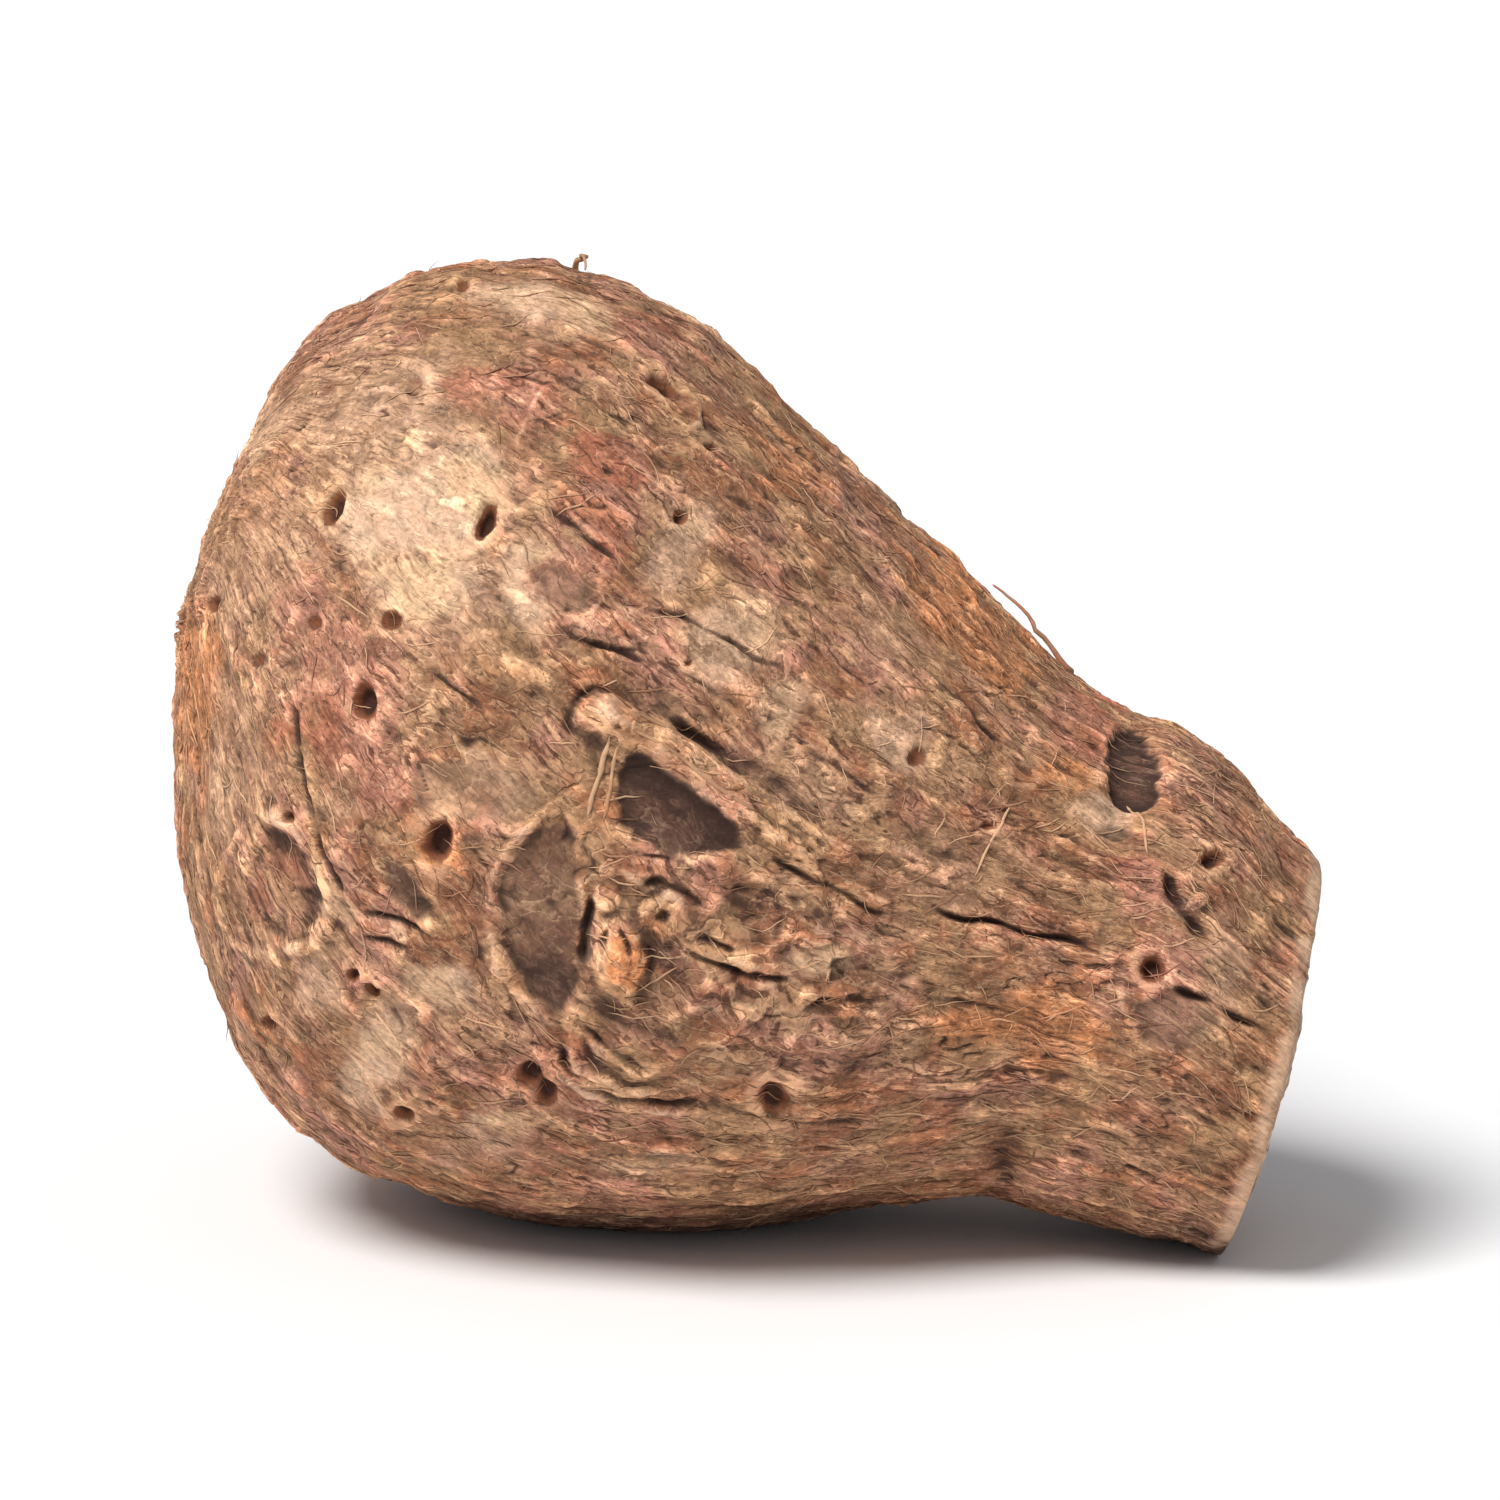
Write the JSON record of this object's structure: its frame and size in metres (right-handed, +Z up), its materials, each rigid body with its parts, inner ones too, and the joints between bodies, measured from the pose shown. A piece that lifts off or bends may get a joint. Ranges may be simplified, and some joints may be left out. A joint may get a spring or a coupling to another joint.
{
  "type": "taro corm",
  "caption": "Pear-shaped edible corm with ringed brown skin, round root scars and a cut neck.",
  "frame": {"origin": "under the middle of the corm's box, on the plane of its resting face", "axes": "+X from the blunt crown to the cut neck, -Y the side that the picture shows, +Z up as it lies"},
  "size_m": [0.0791, 0.0643, 0.0667],
  "materials": {
    "corm_skin": "matt brown fibrous skin, paler where the cork is thin"
  },
  "bodies": {
    "root": {"corm": "corm_skin"}
  },
  "joints": []
}
